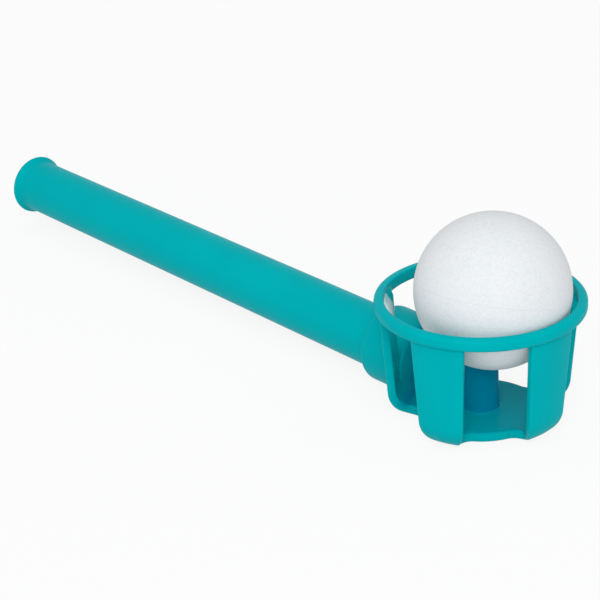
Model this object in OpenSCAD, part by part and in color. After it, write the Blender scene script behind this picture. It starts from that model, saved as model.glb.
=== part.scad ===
// Floating ball pipe toy
// A tube blows air through a duct in the basket's floor to a small upright nozzle,
// and the jet holds a light foam ball in the air.
// Millimetres. The basket stands on its base at z = 0, the nozzle is on the Z axis,
// and the tube leaves along -X, rising a little towards its mouth end.

/* [Ball] */
// Diameter of the foam ball
ball_d = 40; // [38:0.5:41]
// Gap left between the resting ball and what carries it
ball_gap = 0.15; // [0.1:0.05:0.4]

/* [Basket] */
// Outside diameter of the rim
rim_d = 54; // [53:0.5:56]
// Width of the rim bead
rim_w = 2.5; // [2.2:0.1:2.8]
// Height of the rim bead
rim_h = 3.4; // [3.2:0.1:4.4]
// Height of the middle of the rim bead above the base
rim_z = 32; // [31:0.2:34]
// Outside radius of the wall at the rim
wall_top_r = 25.7; // [25.4:0.1:26]
// Lean of the wall from upright, in degrees
wall_lean = 4.7; // [3.5:0.1:5.5]
// Thickness of the wall
wall_t = 1.9; // [1.6:0.1:2.2]
// Thickness of the floor
floor_t = 2.5; // [2:0.1:2.8]
// Outside radius of the rounded corner between wall and base
corner_r = 7.6; // [7:0.2:9]

/* [Windows] */
// Number of windows round the basket
window_count = 5; // [4:1:5]
// Width of a window
window_w = 17; // [14:0.2:17.4]
// Radius of the round floor, where the windows end
floor_r = 15.6; // [14.8:0.2:16.4]
// Radius of a window's corners beside the floor
window_corner_r = 3.2; // [2:0.2:4]

/* [Socket and nozzle] */
// Outside radius of the socket
socket_r = 10.4; // [10:0.1:10.8]
// Height of the tube's axis above the base, at the nozzle
axis_z = 8.8; // [8.6:0.1:10]
// Distance from the nozzle to the socket's lip
socket_lip = 34.5; // [33:0.5:37]
// Length of the socket
socket_len = 15.5; // [14:0.5:16]
// Depth to which the tube goes in
socket_depth = 13.2; // [10:0.2:13.2]
// Radius of the socket's bore
socket_bore_r = 8.2; // [8:0.05:8.3]
// Radius of the rounding on the socket's lip
socket_round = 1.6; // [1:0.1:1.6]
// Height of the nozzle's top above the base
nozzle_top = 16.2; // [15.2:0.2:17]
// Outside radius of the nozzle at its foot
nozzle_foot_r = 4.8; // [4.6:0.1:5.2]
// Outside radius of the nozzle at its top
nozzle_top_r = 4.5; // [4.2:0.1:4.6]
// Radius of the nozzle's bore
nozzle_bore_r = 2.7; // [2:0.1:3]
// Outside radius of the arched duct between socket and nozzle
duct_r = 4.4; // [4.2:0.1:4.5]
// Radius of the duct's bore
duct_bore_r = 3; // [2.4:0.1:3.2]

/* [Blow tube] */
// Distance from the nozzle to the mouth end of the tube
tube_reach = 189.3; // [150:0.5:220]
// Rise of the tube towards its mouth end, in degrees
tube_rise = 0.8; // [0:0.1:1.2]
// Running clearance between tube and socket, on the radius
tube_clearance = 0.05; // [0.03:0.01:0.1]
// Outside radius of the tube beside its mouth lip
tube_mouth_r = 7.55; // [7.2:0.05:7.8]
// Outside radius of the mouth lip
lip_r = 8.66; // [8.4:0.02:9.2]
// Radius of the mouth lip's round edge
lip_round = 1.1; // [0.9:0.1:1.3]
// Radius of the hollow between the mouth lip and the tube
lip_cove_r = 2; // [1.5:0.1:3]
// Wall thickness of the tube
tube_wall = 1.4; // [1.2:0.1:1.8]

/* [Hidden] */
$fn = 96;
eps = 0.01;
plastic = [0, 0.67, 0.70];
foam = [0.93, 0.95, 0.95];

// Outside radius of the wall, carried straight down to the base plane
base_r = wall_top_r - rim_z * tan(wall_lean);

// The staves end just inside the rim bead, which is wider than they are thick
wall_top_z = rim_z - rim_h / 2 + 0.6;

socket_start = socket_lip - socket_len;
socket_floor = socket_lip - socket_depth;

// The tube's plain end stops just short of the socket's floor
tube_r = socket_bore_r - tube_clearance;
tube_start = socket_floor + 0.2;
spigot_end = socket_lip + 0.6;

// The hollow beside the mouth lip touches both the tube and the lip's round edge
lip_mid = [lip_r - lip_round, tube_reach - lip_round];
cove_out = tube_mouth_r + lip_cove_r - lip_mid[0];
cove_back = sqrt(pow(lip_cove_r + lip_round - eps, 2) - pow(cove_out, 2));
cove_mid = lip_mid + [cove_out, -cove_back];
lip_touch_r = lip_mid[0] + cove_out * lip_round / (lip_cove_r + lip_round);

// The resting ball leans on two edges: the nozzle's outer edge, and the inner top edge of the
// stave opposite the tube. Its middle is as far from one as from the other.
ball_reach = ball_d / 2 + ball_gap;
stave_edge = [wall_top_r - (rim_z - wall_top_z) * tan(wall_lean) - wall_t / cos(wall_lean), wall_top_z];
nozzle_edge = [nozzle_top_r, nozzle_top];
edge_step = stave_edge - nozzle_edge;
edge_rise = sqrt(pow(ball_reach, 2) - pow(norm(edge_step) / 2, 2));
ball_mid = (stave_edge + nozzle_edge) / 2 + edge_rise * [-edge_step[1], edge_step[0]] / norm(edge_step);

// Turns a shape modelled along +Z so that it lies along the tube's axis, away from the nozzle
module along_tube() {
    translate([0, 0, axis_z]) rotate([0, tube_rise - 90, 0]) children();
}

// Half section of a solid cup: a floor, a round corner and a leaning wall that starts at foot_r.
// The wall sets out from just inside the round corner, so that the two cross cleanly.
module cup_section(foot_r, floor_z, round_r, top) {
    mid_z = floor_z + round_r;
    mid_x = foot_r + mid_z * tan(wall_lean) - round_r / cos(wall_lean);
    reach = round_r - eps;
    polygon([
        [0, floor_z],
        [mid_x, floor_z],
        [mid_x + reach * cos(wall_lean), mid_z - reach * sin(wall_lean)],
        [foot_r + top * tan(wall_lean), top],
        [0, top]
    ]);
    translate([mid_x, mid_z]) circle(round_r);
}

module cup() {
    rotate_extrude() difference() {
        cup_section(base_r, 0, corner_r, wall_top_z);
        cup_section(base_r - wall_t / cos(wall_lean), floor_t, corner_r - wall_t, wall_top_z + 1);
    }
}

module rim() {
    rotate_extrude() translate([(rim_d - rim_w) / 2, rim_z]) {
        square([rim_w, rim_h - rim_w], center = true);
        for (side = [-1, 1]) translate([0, side * (rim_h - rim_w) / 2]) circle(d = rim_w);
    }
}

// Plan of one window: open to the outside, and ending at the round floor in two rounded corners
module window_plan() {
    half = window_w / 2;
    round_y = half - window_corner_r;
    round_x = sqrt(pow(floor_r + window_corner_r - eps, 2) - pow(round_y, 2));
    corner_x = sqrt(pow(floor_r, 2) - pow(half, 2));
    touch = floor_r / (floor_r + window_corner_r);
    difference() {
        translate([0, -half]) square([rim_d, window_w]);
        circle(floor_r);
        for (side = [-1, 1]) difference() {
            polygon([
                [round_x, side * round_y],
                [round_x, side * (half + 1)],
                [corner_x - 1, side * (half + 1)],
                [round_x * touch, side * round_y * touch]
            ]);
            translate([round_x, side * round_y]) circle(window_corner_r);
        }
    }
}

// The windows run from the rim down through the round corner, and the one over the tube
// ends at the socket
module windows() {
    for (i = [0 : window_count - 1]) {
        low = i == 0 ? axis_z : -1;
        rotate([0, 0, 180 + i * 360 / window_count]) translate([0, 0, low])
            linear_extrude(rim_z - low + eps) window_plan();
    }
}

// The socket's underside is cut flat, level with the base
module socket_outside() {
    intersection() {
        along_tube() translate([0, 0, socket_start]) rotate_extrude() {
            square([socket_r, socket_len - socket_round]);
            square([socket_r - socket_round, socket_len]);
            translate([socket_r - socket_round, socket_len - socket_round]) circle(socket_round);
        }
        translate([-2 * socket_lip, -rim_d / 2, 0]) cube([2 * socket_lip, rim_d, rim_d]);
    }
}

module duct_outside() {
    depth = axis_z - floor_t / 2;
    along_tube() linear_extrude(socket_start + 1) {
        circle(duct_r);
        translate([-depth, -duct_r]) square([depth, 2 * duct_r]);
    }
}

module nozzle_outside() {
    edge = 0.4;
    foot_round = 1.2;
    rotate_extrude() {
        polygon([
            [0, floor_t / 2],
            [nozzle_foot_r, floor_t / 2],
            [nozzle_foot_r, floor_t + foot_round],
            [nozzle_top_r, nozzle_top - edge],
            [nozzle_top_r - edge, nozzle_top],
            [0, nozzle_top]
        ]);
        difference() {
            translate([nozzle_foot_r - 1, floor_t - eps]) square([1 + foot_round, foot_round + eps]);
            translate([nozzle_foot_r + foot_round, floor_t + foot_round]) circle(foot_round);
        }
    }
}

// The air's way: socket bore, duct bore and the upright bore of the nozzle
module air_way() {
    lead_in = 0.5;
    duct_end = 0.5 - nozzle_bore_r;
    along_tube() {
        translate([0, 0, socket_floor]) cylinder(h = socket_depth + 1, r = socket_bore_r);
        translate([0, 0, socket_lip - lead_in])
            cylinder(h = lead_in + eps, r1 = socket_bore_r, r2 = socket_bore_r + lead_in);
        translate([0, 0, duct_end]) cylinder(h = socket_floor + 1 - duct_end, r = duct_bore_r);
    }
    translate([0, 0, axis_z]) cylinder(h = nozzle_top, r = nozzle_bore_r);
}

module basket() {
    color(plastic) difference() {
        union() {
            difference() {
                cup();
                windows();
            }
            rim();
            socket_outside();
            duct_outside();
            nozzle_outside();
        }
        air_way();
    }
}

module blow_tube() {
    bore_start_r = tube_r - tube_wall;
    bore_end_r = tube_mouth_r - tube_wall;
    end_bevel = 0.5;
    color(plastic) along_tube() rotate_extrude() difference() {
        union() {
            difference() {
                polygon([
                    [0, tube_start],
                    [tube_r - end_bevel, tube_start],
                    [tube_r, tube_start + end_bevel],
                    [tube_r, spigot_end],
                    [tube_mouth_r, cove_mid[1] - lip_cove_r],
                    [tube_mouth_r, cove_mid[1]],
                    [lip_touch_r, cove_mid[1]],
                    [lip_touch_r, lip_mid[1]],
                    [lip_mid[0], tube_reach],
                    [0, tube_reach]
                ]);
                translate(cove_mid) circle(lip_cove_r);
            }
            translate(lip_mid) circle(lip_round);
        }
        polygon([
            [-1, tube_start - 1],
            [bore_start_r, tube_start - 1],
            [bore_end_r, tube_reach + 1],
            [-1, tube_reach + 1]
        ]);
    }
}

module ball() {
    color(foam) translate([ball_mid[0], 0, ball_mid[1]]) sphere(d = ball_d);
}

basket();
blow_tube();
ball();
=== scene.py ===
from math import asin, atan2, cos, degrees, hypot, pi, radians, sin, sqrt, tan

import bmesh
import bpy
from mathutils import Matrix, Vector, noise


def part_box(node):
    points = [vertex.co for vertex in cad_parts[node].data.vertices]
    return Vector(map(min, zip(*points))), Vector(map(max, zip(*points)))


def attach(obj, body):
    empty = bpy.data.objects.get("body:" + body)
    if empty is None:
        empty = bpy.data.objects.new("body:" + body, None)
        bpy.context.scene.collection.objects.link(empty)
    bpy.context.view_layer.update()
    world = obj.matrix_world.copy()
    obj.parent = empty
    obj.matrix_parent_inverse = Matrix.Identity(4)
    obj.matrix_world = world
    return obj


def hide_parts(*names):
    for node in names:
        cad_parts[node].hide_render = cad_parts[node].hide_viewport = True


# Floating ball pipe toy: a windowed basket with an air nozzle, a blow tube and a foam ball.
# Lengths are in millimetres, as in the CAD source, and each mesh is brought to metres at its end.
MM = 0.001

# Rim. The wall's inner skin ends just inside the ring.
RIM_OUTER_R = 27
RIM_INNER_R = 24.5
RIM_TOP = 33.7
RIM_BOTTOM = 30.3
RIM_Z = 32
RIM_COVER = 0.12

# Cup
WALL_TOP_R = 25.9
LEAN = radians(4.7)
WALL = 2.2
FLOOR = 2.5
CORNER_R = 7.6
BASE_R = WALL_TOP_R - RIM_Z * tan(LEAN)
FLARE_START = 30.2
FLARE_END = 32.9

# Windows
WINDOWS = 5
HALF_SECTOR = pi / WINDOWS
WINDOW_HALF = 8.5
TUBE_WINDOW_HALF = 10.4
FLOOR_R = 15.6
WINDOW_CORNER_R = 3.2
EDGE_R = 0.5

# Socket and air way
AXIS_Z = 8.8
TUBE_RISE = radians(0.8)
SOCKET_R = 10.4
SOCKET_START = 19
SOCKET_FLOOR = 21.3
SOCKET_LIP = 34.5
SOCKET_BORE_R = 8.2
DUCT_R = 4.4
DUCT_BORE_R = 3
DUCT_START = 2
DUCT_END = 19.5
DUCT_FOOT_Z = 1.2
NOZZLE_FOOT_R = 4.8
NOZZLE_TOP_R = 4.5
NOZZLE_TOP = 16.2
NOZZLE_BORE_R = 2.7

# Blow tube
TUBE_START = 21.5
TUBE_R = 8.15
TUBE_MOUTH_R = 7.55
TUBE_REACH = 189.3
TUBE_WALL = 1.4
LIP_R = 8.66
LIP_ROUND = 1.1
COVE_R = 2

# Ball. The beads and the joints between them lie a little inside its radius, and the mould's
# parting line lies in the plane through its middle that this direction is square to.
BALL_R = 20
BEAD = 1.3
BEAD_DEPTH = 0.02
JOINT_DEPTH = 0.03
JOINT_SHARPNESS = 2.5
SEAM = Vector((-0.048, 0.25, 0.967))

# Camera, found from the photograph: picture measures in pixels of a 600 pixel square
PICTURE = 600
FOCAL = 2518
RIM_MIDDLE_X = 480.5
RIM_MIDDLE_Y = 301.1
CAMERA_DISTANCE = 0.635
CAMERA_TURN = radians(48.5)
CAMERA_HEIGHT = radians(24.63)
CAMERA_ROLL = radians(-1.95)
SENSOR = 36


def arc(cx, cy, r, start, end, steps):
    """Points on an arc, from one angle to the other, in degrees."""
    turns = [radians(start + (end - start) * i / steps) for i in range(steps + 1)]
    return [(cx + r * cos(turn), cy + r * sin(turn)) for turn in turns]


def lathe(section, steps, place=Matrix.Identity(4)):
    """Spins a closed section of (radius, height) points round Z, then puts it in place."""
    bm = bmesh.new()
    verts = [bm.verts.new((r, 0, z)) for r, z in section]
    edges = [bm.edges.new(pair) for pair in zip(verts, verts[1:] + verts[:1])]
    bmesh.ops.spin(bm, geom=verts + edges, cent=(0, 0, 0), axis=(0, 0, 1), angle=2 * pi,
                   steps=steps, use_merge=True)
    bmesh.ops.remove_doubles(bm, verts=bm.verts, dist=1e-4)
    bmesh.ops.recalc_face_normals(bm, faces=bm.faces)
    bmesh.ops.transform(bm, matrix=place, verts=bm.verts)
    return bm


def finished(bm, name, body, material, cad_node, sharp=30):
    """Makes a piece of the toy from a bmesh in millimetres."""
    bmesh.ops.scale(bm, vec=(MM, MM, MM), verts=bm.verts)
    mesh = bpy.data.meshes.new(name)
    bm.to_mesh(mesh)
    bm.free()
    mesh.polygons.foreach_set("use_smooth", [True] * len(mesh.polygons))
    mesh.set_sharp_from_angle(angle=radians(sharp))
    mesh.materials.append(material)
    piece = bpy.data.objects.new(name, mesh)
    bpy.context.collection.objects.link(piece)
    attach(piece, body)
    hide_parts(cad_node)
    return piece


def basket_piece(bm, name, material):
    return finished(bm, name, "basket_body", material, "basket")


def along_tube():
    """Places a shape made along +Z on the tube's axis, away from the nozzle."""
    return Matrix.Translation((0, 0, AXIS_Z)) @ Matrix.Rotation(TUBE_RISE - pi / 2, 4, "Y")


class Skin:
    """One side of the cup's wall, followed from the middle of the floor up to the rim.

    A way of 0 to 1 crosses the floor, to 2 rounds the corner, to 3 climbs the wall, to 4 flares."""

    def __init__(self, foot_r, floor_z, round_r, flare_r):
        self.floor_z, self.round_r, self.flare_r = floor_z, round_r, flare_r
        self.mid_x = foot_r + (floor_z + round_r) * tan(LEAN) - round_r / cos(LEAN)
        self.bend = pi / 2 - LEAN
        self.bend_x = self.mid_x + round_r * cos(LEAN)
        self.bend_z = floor_z + round_r * (1 - sin(LEAN))
        self.wall_x = self.bend_x + (FLARE_START - self.bend_z) * tan(LEAN)

    def point(self, way):
        """Radius and height at a way along the section."""
        if way <= 1:
            return self.mid_x * way, self.floor_z
        if way <= 2:
            turn = self.bend * (way - 1)
            return (self.mid_x + self.round_r * sin(turn),
                    self.floor_z + self.round_r * (1 - cos(turn)))
        if way <= 3:
            return (self.bend_x + (self.wall_x - self.bend_x) * (way - 2),
                    self.bend_z + (FLARE_START - self.bend_z) * (way - 2))
        return (self.wall_x + (self.flare_r - self.wall_x) * (way - 3),
                FLARE_START + (FLARE_END - FLARE_START) * (way - 3))

    def way_at_radius(self, radius):
        """Way at a radius in the floor or the corner."""
        if radius <= self.mid_x:
            return radius / self.mid_x
        return 1 + asin(min(1, (radius - self.mid_x) / self.round_r)) / self.bend

    def way_at_height(self, z):
        """Way at a height on the straight wall."""
        return 2 + (z - self.bend_z) / (FLARE_START - self.bend_z)


OUTER = Skin(BASE_R, 0, CORNER_R, WALL_TOP_R)
INNER = Skin(BASE_R - WALL / cos(LEAN), FLOOR, CORNER_R - WALL, RIM_INNER_R + RIM_COVER)

# The cup's grid: steps along a window's edge, and shares of the way from there to a stave's middle
SILL_STEPS, CORNER_STEPS, BEND_STEPS, WALL_STEPS, FLARE_STEPS = 8, 12, 10, 10, 3
ROWS = (0, 0.17, 0.34, 0.5, 0.67, 0.84, 1)
HUB_R = 4


def steps_between(a, b, steps):
    return [a + (b - a) * i / steps for i in range(1, steps + 1)]


def climb(way, steps):
    """Ways from one in the corner up to the end of the flare."""
    return (steps_between(way, 2, steps) + steps_between(2, 3, WALL_STEPS)
            + steps_between(3, 4, FLARE_STEPS))


def corner_middle():
    """Where the round corner of a window's sill has its centre, seen from above."""
    y = WINDOW_HALF - WINDOW_CORNER_R
    return sqrt((FLOOR_R + WINDOW_CORNER_R) ** 2 - y * y), y


def window_side(half, way):
    """Angle of a window's upright edge at a way up the wall."""
    return asin(half / OUTER.point(way)[0])


def open_window():
    """Half the edge of a window, from the middle of its sill up to the rim, as (way, angle)."""
    x, y = corner_middle()
    touch = atan2(y, x)
    sill = [(OUTER.way_at_radius(FLOOR_R), touch * i / SILL_STEPS) for i in range(SILL_STEPS)]
    turn = arc(x, y, WINDOW_CORNER_R, 180 + degrees(touch), 90, CORNER_STEPS)
    corner = [(OUTER.way_at_radius(hypot(*p)), atan2(p[1], p[0])) for p in turn]
    ways = climb(corner[-1][0], BEND_STEPS)
    return sill + corner + [(way, window_side(WINDOW_HALF, way)) for way in ways]


def tube_window():
    """The same for the window over the tube. Its sill lies inside the socket."""
    start = OUTER.way_at_height(AXIS_Z)
    count = SILL_STEPS + CORNER_STEPS
    side = window_side(TUBE_WINDOW_HALF, start)
    ways = steps_between(start, 3, BEND_STEPS + WALL_STEPS) + steps_between(3, 4, FLARE_STEPS)
    return ([(start, side * i / count) for i in range(count + 1)]
            + [(way, window_side(TUBE_WINDOW_HALF, way)) for way in ways])


def stave_middle():
    """The far side of half a sector: round the hub, then up the middle of the stave."""
    x, y = corner_middle()
    hub = OUTER.way_at_radius(HUB_R)
    count = SILL_STEPS + CORNER_STEPS // 2
    foot = OUTER.way_at_radius(hypot(x, y + WINDOW_CORNER_R))
    ways = steps_between(hub, foot, CORNER_STEPS - CORNER_STEPS // 2) + climb(foot, BEND_STEPS)
    return ([(hub, HALF_SECTOR * i / count) for i in range(count + 1)]
            + [(way, HALF_SECTOR) for way in ways])


def half_sector(edge):
    """Outer skin, cut edge and inner skin of half a sector, bent out of one grid."""
    middle = stave_middle()
    rows = [(OUTER, share) for share in reversed(ROWS)] + [(INNER, share) for share in ROWS]
    bm = bmesh.new()
    bmesh.ops.create_grid(bm, x_segments=len(edge) - 1, y_segments=len(rows) - 1, size=1)
    for v in bm.verts:
        column = round((v.co.x + 1) / 2 * (len(edge) - 1))
        skin, share = rows[round((v.co.y + 1) / 2 * (len(rows) - 1))]
        near, far = [Vector((way * cos(angle), way * sin(angle)))
                     for way, angle in (edge[column], middle[column])]
        flat = near.lerp(far, share)
        r, z = skin.point(flat.length)
        angle = atan2(flat.y, flat.x)
        v.co = (r * cos(angle), r * sin(angle), z)
    return bm


def everything(bm):
    return bm.verts[:] + bm.edges[:] + bm.faces[:]


def only_verts(geom):
    return [g for g in geom if isinstance(g, bmesh.types.BMVert)]


def make_cup(material, polished):
    """Floor and staves in one shell. The window over the tube comes first, opposite +X."""
    corner_bend, inward, below_top = radians(50), -0.9, FLARE_END - 0.01
    bm = bmesh.new()
    for i in range(WINDOWS):
        part = half_sector(open_window() if i else tube_window())
        twin = bmesh.ops.duplicate(part, geom=everything(part))["geom"]
        bmesh.ops.scale(part, vec=(1, -1, 1), verts=only_verts(twin))
        turn = Matrix.Rotation(pi + 2 * i * HALF_SECTOR, 3, "Z")
        bmesh.ops.rotate(part, cent=(0, 0, 0), matrix=turn, verts=part.verts)
        mesh = bpy.data.meshes.new("sector")
        part.to_mesh(mesh)
        part.free()
        bm.from_mesh(mesh)
        bpy.data.meshes.remove(mesh)
    bmesh.ops.remove_doubles(bm, verts=bm.verts, dist=1e-3)
    # The middle of the floor and the staves' top ends are still open.
    bmesh.ops.holes_fill(bm, edges=[e for e in bm.edges if e.is_boundary], sides=0)
    bmesh.ops.recalc_face_normals(bm, faces=bm.faces)
    cut = [e for e in bm.edges if e.calc_face_angle(0) > corner_bend
           and min(v.co.z for v in e.verts) < below_top]
    bmesh.ops.bevel(bm, geom=cut, affect="EDGES", offset=EDGE_R, offset_type="OFFSET", segments=4,
                    profile=0.5, material=-1, clamp_overlap=False)
    # The staves' inner faces are polished.
    for f in bm.faces:
        middle = f.calc_center_median()
        outward = f.normal.dot(middle.xy.to_3d().normalized())
        f.material_index = middle.z > CORNER_R + FLOOR and outward < inward
    piece = basket_piece(bm, "basket_cup", material)
    piece.data.materials.append(polished)
    return piece


def make_rim(material):
    """A ring whose four corners have roundings of their own."""
    top_in, top_out, foot_out, foot_in = 0.45, 1.25, 1.1, 0.6
    section = (arc(RIM_INNER_R + top_in, RIM_TOP - top_in, top_in, 180, 80, 6)
               + arc(RIM_OUTER_R - top_out, RIM_TOP - top_out, top_out, 75, 0, 8)
               + arc(RIM_OUTER_R - foot_out, RIM_BOTTOM + foot_out, foot_out, 0, -90, 8)
               + arc(RIM_INNER_R + foot_in, RIM_BOTTOM + foot_in, foot_in, 270, 180, 6))
    return basket_piece(lathe(section, 160), "basket_rim", material)


def make_socket(material):
    """The socket is cut flat underneath, level with the base."""
    inner, lip, mouth, base_z = 0.8, 1.6, 0.3, 0.02
    section = ([(DUCT_BORE_R, SOCKET_START)]
               + arc(SOCKET_R - inner, SOCKET_START + inner, inner, -90, 0, 6)
               + arc(SOCKET_R - lip, SOCKET_LIP - lip, lip, 0, 90, 10)
               + [(SOCKET_BORE_R + mouth, SOCKET_LIP), (SOCKET_BORE_R, SOCKET_LIP - mouth),
                  (SOCKET_BORE_R, SOCKET_FLOOR), (DUCT_BORE_R, SOCKET_FLOOR)])
    bm = lathe(section, 128, along_tube())
    cut = bmesh.ops.bisect_plane(bm, geom=everything(bm), plane_co=(0, 0, base_z),
                                 plane_no=(0, 0, -1), clear_outer=True)["geom_cut"]
    bmesh.ops.contextual_create(bm, geom=[g for g in cut if isinstance(g, bmesh.types.BMEdge)])
    bmesh.ops.recalc_face_normals(bm, faces=bm.faces)
    return basket_piece(bm, "basket_socket", material)


def make_duct(material):
    """The arched passage on the floor, from the nozzle to the socket."""
    foot = AXIS_Z - DUCT_FOOT_Z
    bm = bmesh.new()
    arch = [(-foot, DUCT_R)] + arc(0, 0, DUCT_R, 90, -90, 20) + [(-foot, -DUCT_R)]
    face = bm.faces.new([bm.verts.new((x, y, DUCT_START)) for x, y in arch])
    pushed = bmesh.ops.extrude_face_region(bm, geom=[face], use_keep_orig=True)["geom"]
    bmesh.ops.translate(bm, vec=(0, 0, DUCT_END - DUCT_START), verts=only_verts(pushed))
    bmesh.ops.recalc_face_normals(bm, faces=bm.faces)
    bmesh.ops.transform(bm, matrix=along_tube(), verts=bm.verts)
    return basket_piece(bm, "basket_duct", material)


def make_nozzle(material):
    foot, edge, mouth = 0.7, 0.4, 0.3
    bore_end, sunk = AXIS_Z - 1, FLOOR - 0.1
    section = (arc(NOZZLE_FOOT_R + foot, FLOOR + foot, foot, 270, 180, 8)
               + arc(NOZZLE_TOP_R - edge, NOZZLE_TOP - edge, edge, 0, 90, 5)
               + arc(NOZZLE_BORE_R + mouth, NOZZLE_TOP - mouth, mouth, 90, 180, 4)
               + [(NOZZLE_BORE_R, bore_end), (0, bore_end), (0, sunk),
                  (NOZZLE_FOOT_R + foot, sunk)])
    return basket_piece(lathe(section, 96), "basket_nozzle", material)


def make_tube(material):
    """The tube tapers from the socket's lip to a cove, and ends in a rolled lip."""
    plain_edge, mouth, past_lip, rings = 0.5, 0.4, 0.6, 12
    lip_x, lip_z = LIP_R - LIP_ROUND, TUBE_REACH - LIP_ROUND
    cove_x = TUBE_MOUTH_R + COVE_R
    cove_z = lip_z - sqrt((COVE_R + LIP_ROUND) ** 2 - (cove_x - lip_x) ** 2)
    meet = degrees(atan2(lip_z - cove_z, lip_x - cove_x))
    start = SOCKET_LIP + past_lip
    taper = [(TUBE_R + (TUBE_MOUTH_R - TUBE_R) * i / rings, start + (cove_z - start) * i / rings)
             for i in range(rings)]
    section = ([(TUBE_R - TUBE_WALL, TUBE_START), (TUBE_R - plain_edge, TUBE_START),
                (TUBE_R, TUBE_START + plain_edge)]
               + taper
               + arc(cove_x, cove_z, COVE_R, 180, meet, 12)
               + arc(lip_x, lip_z, LIP_ROUND, meet - 180, 90, 16)[1:]
               + arc(TUBE_MOUTH_R - TUBE_WALL + mouth, TUBE_REACH - mouth, mouth, 90, 180, 5))
    bm = lathe(section, 128, along_tube())
    return finished(bm, "tube_blow", "tube_body", material, "blow_tube")


def ball_middle():
    """The middle of the CAD ball, in metres."""
    low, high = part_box("ball")
    return (Vector(low) + Vector(high)) / 2


def make_ball(material):
    """Fused beads: each one stands a little proud of the joints round it."""
    bm = bmesh.new()
    bmesh.ops.create_icosphere(bm, subdivisions=7, radius=BALL_R)
    for v in bm.verts:
        near = noise.voronoi(v.co / BEAD)[0]
        joint = 1 - min(1, (near[1] - near[0]) * JOINT_SHARPNESS)
        v.co *= 1 - (BEAD_DEPTH + JOINT_DEPTH * joint * joint) / BALL_R
    bmesh.ops.translate(bm, vec=ball_middle() / MM, verts=bm.verts)
    return finished(bm, "ball_foam", "ball_body", material, "ball", sharp=180)


def node(tree, kind, **values):
    """Adds a node and sets its properties or, where it has none of that name, its sockets."""
    made = tree.nodes.new(kind)
    for key, value in values.items():
        if hasattr(made, key):
            setattr(made, key, value)
        else:
            made.inputs[key.replace("_", " ")].default_value = value
    return made


def new_material(name):
    """A material with its node tree, its shader and its Object coordinates."""
    material = bpy.data.materials.new(name)
    material.use_nodes = True
    tree = material.node_tree
    coords = tree.nodes.new("ShaderNodeTexCoord").outputs["Object"]
    return material, tree, tree.nodes["Principled BSDF"], coords


def ramp(tree, *stops):
    """A colour ramp with a (place, colour) pair for each stop."""
    made = tree.nodes.new("ShaderNodeValToRGB")
    while len(made.color_ramp.elements) < len(stops):
        made.color_ramp.elements.new(0.5)
    for element, (place, color) in zip(made.color_ramp.elements, stops):
        element.position, element.color = place, (*color, 1)
    return made


def tinted(tree, color, tint, share):
    """Mixes a fixed tint into a colour by a share that a node gives."""
    mix = node(tree, "ShaderNodeMix", data_type="RGBA")
    factor, first, second, result = mix.inputs[0], mix.inputs[6], mix.inputs[7], mix.outputs[2]
    second.default_value = (*tint, 1)
    tree.links.new(share, factor)
    tree.links.new(color, first)
    return result


def painted_shade_in_cup(tree, coords):
    """Share of painted shade: 0 at the cup's wall and rim, 1 well inside it, and a small share on
    its floor.
    """
    link = tree.links.new
    parts = tree.nodes.new("ShaderNodeSeparateXYZ")
    link(coords, parts.inputs[0])
    flat = node(tree, "ShaderNodeVectorMath", operation="MULTIPLY")
    flat.inputs[1].default_value = (1, 1, 0)
    link(coords, flat.inputs[0])
    radius = node(tree, "ShaderNodeVectorMath", operation="LENGTH")
    link(flat.outputs[0], radius.inputs[0])
    within = node(tree, "ShaderNodeMapRange", From_Min=21.5 * MM, From_Max=18.5 * MM)
    link(radius.outputs["Value"], within.inputs["Value"])
    height = node(tree, "ShaderNodeMath", operation="DIVIDE")
    height.inputs[1].default_value = 30 * MM
    link(parts.outputs["Z"], height.inputs[0])
    level = ramp(tree, (0.06, (0, 0, 0)), (0.084, (0.3, 0.3, 0.3)), (0.1, (1, 1, 1)),
                 (0.55, (1, 1, 1)), (0.97, (0, 0, 0)))
    link(height.outputs[0], level.inputs["Fac"])
    painted_shade_share = node(tree, "ShaderNodeMath", operation="MULTIPLY")
    link(within.outputs["Result"], painted_shade_share.inputs[0])
    link(level.outputs["Color"], painted_shade_share.inputs[1])
    return painted_shade_share.outputs[0]


def teal_plastic(name, rough, shine, coat):
    """Moulded plastic: a deep teal, faintly cloudy, with a fine grain, and painted shade that makes
    it darker and bluer inside the cup.
    """
    material, tree, bsdf, coords = new_material(name)
    link = tree.links.new
    cloud = node(tree, "ShaderNodeTexNoise", Scale=70, Detail=3, Roughness=0.5)
    link(coords, cloud.inputs["Vector"])
    teal = ramp(tree, (0.3, (0.0, 0.4, 0.437)), (0.7, (0.0, 0.422, 0.453)))
    link(cloud.outputs["Fac"], teal.inputs["Fac"])
    # Painted shade: a darker, bluer teal inside the cup stands in for the shade among its walls.
    painted_shade_teal = tinted(tree, teal.outputs["Color"], (0.0, 0.245, 0.39), painted_shade_in_cup(tree, coords))
    link(painted_shade_teal, bsdf.inputs["Base Color"])
    grain = node(tree, "ShaderNodeTexNoise", Scale=1100, Detail=4, Roughness=0.6)
    link(coords, grain.inputs["Vector"])
    gloss = node(tree, "ShaderNodeMapRange", To_Min=rough - 0.05, To_Max=rough + 0.05)
    link(grain.outputs["Fac"], gloss.inputs["Value"])
    link(gloss.outputs["Result"], bsdf.inputs["Roughness"])
    fine = node(tree, "ShaderNodeBump", Strength=0.06, Distance=0.00004)
    link(grain.outputs["Fac"], fine.inputs["Height"])
    link(fine.outputs["Normal"], bsdf.inputs["Normal"])
    bsdf.inputs["Specular IOR Level"].default_value = shine
    bsdf.inputs["Specular Tint"].default_value = (0, 1, 1, 1)
    bsdf.inputs["Coat Weight"].default_value = coat
    bsdf.inputs["Coat Roughness"].default_value = 0.05
    bsdf.inputs["Coat IOR"].default_value = 1.25
    return material


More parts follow.
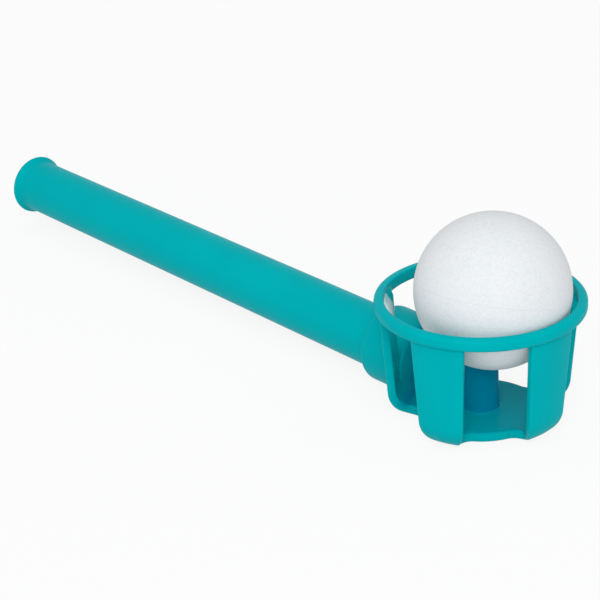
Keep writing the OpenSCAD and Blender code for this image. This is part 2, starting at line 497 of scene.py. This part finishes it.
def bead_foam():
    """White bead foam, with small fused beads, flecks, pores and the mould's parting line."""
    material, tree, bsdf, coords = new_material("bead_foam")
    link = tree.links.new
    beads = node(tree, "ShaderNodeTexVoronoi", feature="DISTANCE_TO_EDGE", Scale=1 / (BEAD * MM))
    link(coords, beads.inputs["Vector"])
    flecks = node(tree, "ShaderNodeTexNoise", Scale=620, Detail=3, Roughness=0.6, Distortion=2)
    link(coords, flecks.inputs["Vector"])
    fused = node(tree, "ShaderNodeMath", operation="MULTIPLY_ADD")
    fused.inputs[1].default_value = 0.9
    link(beads.outputs["Distance"], fused.inputs[0])
    link(flecks.outputs["Fac"], fused.inputs[2])
    white = ramp(tree, (0.42, (0.725, 0.748, 0.765)), (0.66, (0.77, 0.79, 0.805)))
    link(fused.outputs[0], white.inputs["Fac"])
    across = node(tree, "ShaderNodeVectorMath", operation="DOT_PRODUCT")
    across.inputs[1].default_value = SEAM
    link(coords, across.inputs[0])
    seam = node(tree, "ShaderNodeMath", operation="COMPARE")
    seam.inputs[1].default_value = SEAM.dot(ball_middle())
    seam.inputs[2].default_value = 0.1 * MM
    link(across.outputs["Value"], seam.inputs[0])
    faint = node(tree, "ShaderNodeMath", operation="MULTIPLY")
    faint.inputs[1].default_value = 0.5
    link(seam.outputs[0], faint.inputs[0])
    lined = tinted(tree, white.outputs["Color"], (0.66, 0.68, 0.70), faint.outputs[0])
    link(lined, bsdf.inputs["Base Color"])
    pores = node(tree, "ShaderNodeTexNoise", Scale=1500, Detail=4, Roughness=0.65)
    link(coords, pores.inputs["Vector"])
    relief = node(tree, "ShaderNodeBump", Strength=0.5, Distance=0.0001)
    link(pores.outputs["Fac"], relief.inputs["Height"])
    pits = node(tree, "ShaderNodeBump", Strength=0.45, Distance=0.0002)
    link(flecks.outputs["Fac"], pits.inputs["Height"])
    link(relief.outputs["Normal"], pits.inputs["Normal"])
    link(pits.outputs["Normal"], bsdf.inputs["Normal"])
    bsdf.inputs["Roughness"].default_value = 0.75
    bsdf.inputs["Specular IOR Level"].default_value = 0.3
    return material


def add_camera():
    """The photograph's view. The rim's middle lies right of the picture's middle."""
    half = PICTURE / 2
    camera = bpy.data.objects.new("camera", bpy.data.cameras.new("camera"))
    bpy.context.collection.objects.link(camera)
    camera.data.sensor_width = SENSOR
    camera.data.lens = FOCAL / PICTURE * SENSOR
    camera.data.clip_start = 0.01
    camera.data.clip_end = 50
    rim = Vector((RIM_MIDDLE_X - half, half - RIM_MIDDLE_Y, -FOCAL)) * CAMERA_DISTANCE / FOCAL
    turn = (Matrix.Rotation(CAMERA_TURN, 4, "Z") @ Matrix.Rotation(pi / 2 - CAMERA_HEIGHT, 4, "X")
            @ Matrix.Rotation(CAMERA_ROLL, 4, "Z"))
    camera.matrix_world = Matrix.Translation((0, 0, RIM_Z * MM)) @ turn @ Matrix.Translation(-rim)
    bpy.context.scene.camera = camera


def seen_directly(tree):
    """1 for camera, glossy and transmission rays, which see a white background."""
    path = tree.nodes.new("ShaderNodeLightPath")
    first = node(tree, "ShaderNodeMath", operation="MAXIMUM")
    second = node(tree, "ShaderNodeMath", operation="MAXIMUM")
    tree.links.new(path.outputs["Is Camera Ray"], first.inputs[0])
    tree.links.new(path.outputs["Is Glossy Ray"], first.inputs[1])
    tree.links.new(first.outputs[0], second.inputs[0])
    tree.links.new(path.outputs["Is Transmission Ray"], second.inputs[1])
    return second.outputs[0]


def add_dome():
    """Even light from all round, a little stronger from the front."""
    world = bpy.data.worlds.new("studio")
    bpy.context.scene.world = world
    world.use_nodes = True
    tree = world.node_tree
    link = tree.links.new
    light = tree.nodes["Background"]
    light.inputs["Color"].default_value = (0.97, 0.985, 1, 1)
    way = tree.nodes.new("ShaderNodeTexCoord")
    front = node(tree, "ShaderNodeVectorMath", operation="DOT_PRODUCT")
    front.inputs[1].default_value = (0.48, -0.53, 0.70)
    link(way.outputs["Generated"], front.inputs[0])
    level = node(tree, "ShaderNodeMapRange", From_Min=-1, From_Max=1, To_Min=0.32, To_Max=0.91)
    link(front.outputs["Value"], level.inputs["Value"])
    link(level.outputs["Result"], light.inputs["Strength"])
    white = node(tree, "ShaderNodeBackground", Strength=1)
    white.inputs["Color"].default_value = (1, 1, 1, 1)
    mix = tree.nodes.new("ShaderNodeMixShader")
    link(seen_directly(tree), mix.inputs["Fac"])
    link(light.outputs[0], mix.inputs[1])
    link(white.outputs[0], mix.inputs[2])
    link(mix.outputs[0], tree.nodes["World Output"].inputs["Surface"])


def add_softbox():
    """A round lamp above the camera, aimed at the basket."""
    target = Vector((-0.03, 0, 0.02))
    lamp = bpy.data.objects.new("softbox", bpy.data.lights.new("softbox", "AREA"))
    lamp.data.shape = "DISK"
    lamp.data.size = 0.36
    lamp.data.energy = 2.5
    lamp.location = Vector((0.46, -0.50, 0.58))
    lamp.rotation_euler = (target - lamp.location).to_track_quat("-Z", "Y").to_euler()
    bpy.context.collection.objects.link(lamp)


def add_floor():
    """A plain floor. Most of the white seen is its own, so that only a soft shadow is left."""
    bm = bmesh.new()
    bmesh.ops.create_grid(bm, x_segments=1, y_segments=1, size=4)
    mesh = bpy.data.meshes.new("floor")
    bm.to_mesh(mesh)
    bm.free()
    floor = bpy.data.objects.new("floor", mesh)
    bpy.context.collection.objects.link(floor)
    material, tree, bsdf, _ = new_material("white_floor")
    bsdf.inputs["Base Color"].default_value = (0.85, 0.85, 0.85, 1)
    bsdf.inputs["Roughness"].default_value = 1
    bsdf.inputs["Specular IOR Level"].default_value = 0
    white = node(tree, "ShaderNodeEmission", Strength=1)
    white.inputs["Color"].default_value = (1, 1, 1, 1)
    share = node(tree, "ShaderNodeMath", operation="MULTIPLY")
    share.inputs[1].default_value = 0.88
    mix = tree.nodes.new("ShaderNodeMixShader")
    tree.links.new(seen_directly(tree), share.inputs[0])
    tree.links.new(share.outputs[0], mix.inputs["Fac"])
    tree.links.new(bsdf.outputs[0], mix.inputs[1])
    tree.links.new(white.outputs[0], mix.inputs[2])
    tree.links.new(mix.outputs[0], tree.nodes["Material Output"].inputs["Surface"])
    mesh.materials.append(material)


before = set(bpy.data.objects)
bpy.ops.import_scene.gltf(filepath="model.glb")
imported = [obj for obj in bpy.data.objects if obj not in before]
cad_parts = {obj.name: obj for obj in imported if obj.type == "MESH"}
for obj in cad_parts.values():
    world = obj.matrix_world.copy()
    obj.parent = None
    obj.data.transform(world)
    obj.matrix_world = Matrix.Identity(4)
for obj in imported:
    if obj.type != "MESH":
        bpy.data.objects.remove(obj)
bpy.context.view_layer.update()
add_camera()
add_dome()
add_softbox()
add_floor()
moulded = teal_plastic("moulded_teal", rough=0.36, shine=0.02, coat=0)
polished = teal_plastic("polished_teal", rough=0.1, shine=0.1, coat=1)
make_cup(moulded, polished)
for make in (make_rim, make_socket, make_duct, make_nozzle, make_tube):
    make(moulded)
make_ball(bead_foam())
bpy.context.scene.view_settings.view_transform = "Standard"
bpy.context.view_layer.update()
